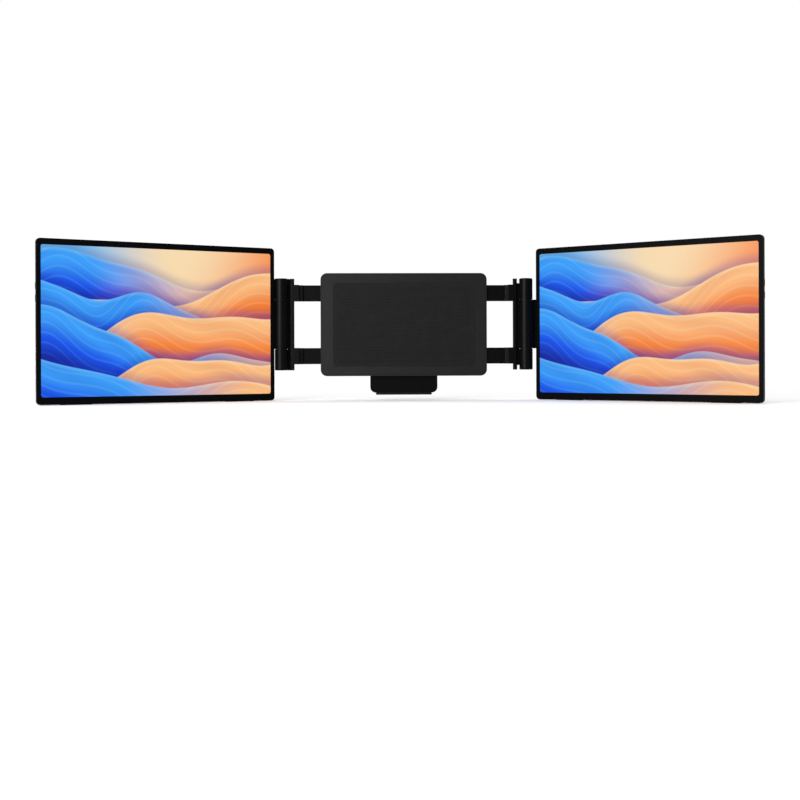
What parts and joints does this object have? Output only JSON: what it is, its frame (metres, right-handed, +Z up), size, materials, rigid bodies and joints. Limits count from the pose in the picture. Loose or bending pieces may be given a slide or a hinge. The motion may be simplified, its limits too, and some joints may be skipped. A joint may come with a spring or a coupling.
{
  "type": "laptop screen extender",
  "caption": "Pair of slim folding screens on friction barrel hinges and a telescoping clamp that grips a laptop lid, with a kickstand at the back.",
  "frame": {"origin": "centre of the front face of the mat that the laptop's lid rests against", "axes": "+X to the user's right, +Y away from the user, +Z up, with the screens upright"},
  "size_m": [0.9252, 0.2174, 0.2135],
  "materials": {
    "casing_black": "fine satin texture",
    "bezel_black": "smooth satin",
    "clamp_black": "black satin anodised",
    "arm_black": "black satin paint",
    "rubber_black": "matt",
    "steel": "bright",
    "black_steel": "black oxide",
    "display": "anti-glare, lit",
    "diffuser": "white film stack",
    "tray": "plain sheet",
    "board": "solder mask",
    "guide_grey": "smooth acetal"
  },
  "bodies": {
    "centre": {"lid_mat": "rubber_black", "front_cover": "casing_black", "back_shell": "casing_black", "upper_guide": "guide_grey", "lower_guide": "guide_grey", "slide_friction_pads": "rubber_black", "centre_screws": "black_steel", "kickstand_pin": "steel"},
    "kickstand": {"kickstand_leg": "arm_black", "kickstand_foot": "rubber_black"},
    "left_clamp": {"left_column": "clamp_black", "left_upper_arm": "arm_black", "left_lower_arm": "arm_black", "left_arm_screws": "black_steel", "left_stop_pins": "steel", "left_claw_liners": "rubber_black", "left_hinge_pin": "steel", "left_hinge_nut": "steel", "left_friction_discs": "steel", "left_hinge_caps": "casing_black"},
    "left_screen": {"left_leaf": "clamp_black", "left_hinge_bushes": "guide_grey", "left_leaf_screws": "steel", "left_front_frame": "bezel_black", "left_display": "display", "left_backlight": "diffuser", "left_midframe": "tray", "left_controller_board": "board", "left_sockets": "steel", "left_rear_cover": "casing_black", "left_screen_screws": "black_steel", "left_feet": "rubber_black"},
    "left_power_button": {"left_power_button": "casing_black"},
    "left_menu_button": {"left_menu_button": "casing_black"},
    "right_clamp": {"right_column": "clamp_black", "right_upper_arm": "arm_black", "right_lower_arm": "arm_black", "right_arm_screws": "black_steel", "right_stop_pins": "steel", "right_claw_liners": "rubber_black", "right_hinge_pin": "steel", "right_hinge_nut": "steel", "right_friction_discs": "steel", "right_hinge_caps": "casing_black"},
    "right_screen": {"right_leaf": "clamp_black", "right_hinge_bushes": "guide_grey", "right_leaf_screws": "steel", "right_front_frame": "bezel_black", "right_display": "display", "right_backlight": "diffuser", "right_midframe": "tray", "right_controller_board": "board", "right_sockets": "steel", "right_rear_cover": "casing_black", "right_screen_screws": "black_steel", "right_feet": "rubber_black"},
    "right_power_button": {"right_power_button": "casing_black"},
    "right_menu_button": {"right_menu_button": "casing_black"}
  },
  "joints": [
    {"name": "left_clamp_slide", "type": "slide", "parent": "centre", "child": "left_clamp", "axis": [-1, 0, 0], "range_m": [0, 0.05]},
    {"name": "left_screen_hinge", "type": "hinge", "parent": "left_clamp", "child": "left_screen", "pos_m": [-0.1725, -0.009, 0], "axis": [0, 0, 1], "range_deg": [-82, 153]},
    {"name": "left_power_button_press", "type": "slide", "parent": "left_screen", "child": "left_power_button", "axis": [0.891, 0.454, 0], "range_m": [0, 0.0006], "stiffness_N_per_m": 400},
    {"name": "left_menu_button_press", "type": "slide", "parent": "left_screen", "child": "left_menu_button", "axis": [0.891, 0.454, 0], "range_m": [0, 0.0006], "stiffness_N_per_m": 400},
    {"name": "right_clamp_slide", "type": "slide", "parent": "centre", "child": "right_clamp", "axis": [1, 0, 0], "range_m": [0, 0.05]},
    {"name": "right_screen_hinge", "type": "hinge", "parent": "right_clamp", "child": "right_screen", "pos_m": [0.1725, -0.009, 0], "axis": [0, 0, -1], "range_deg": [-91.5, 143.5]},
    {"name": "right_power_button_press", "type": "slide", "parent": "right_screen", "child": "right_power_button", "axis": [-0.8039, 0.5948, 0], "range_m": [0, 0.0006], "stiffness_N_per_m": 400},
    {"name": "right_menu_button_press", "type": "slide", "parent": "right_screen", "child": "right_menu_button", "axis": [-0.8039, 0.5948, 0], "range_m": [0, 0.0006], "stiffness_N_per_m": 400},
    {"name": "kickstand_hinge", "type": "hinge", "parent": "centre", "child": "kickstand", "pos_m": [0, 0.014, 0.034], "axis": [1, 0, 0], "range_deg": [0, 70]}
  ]
}
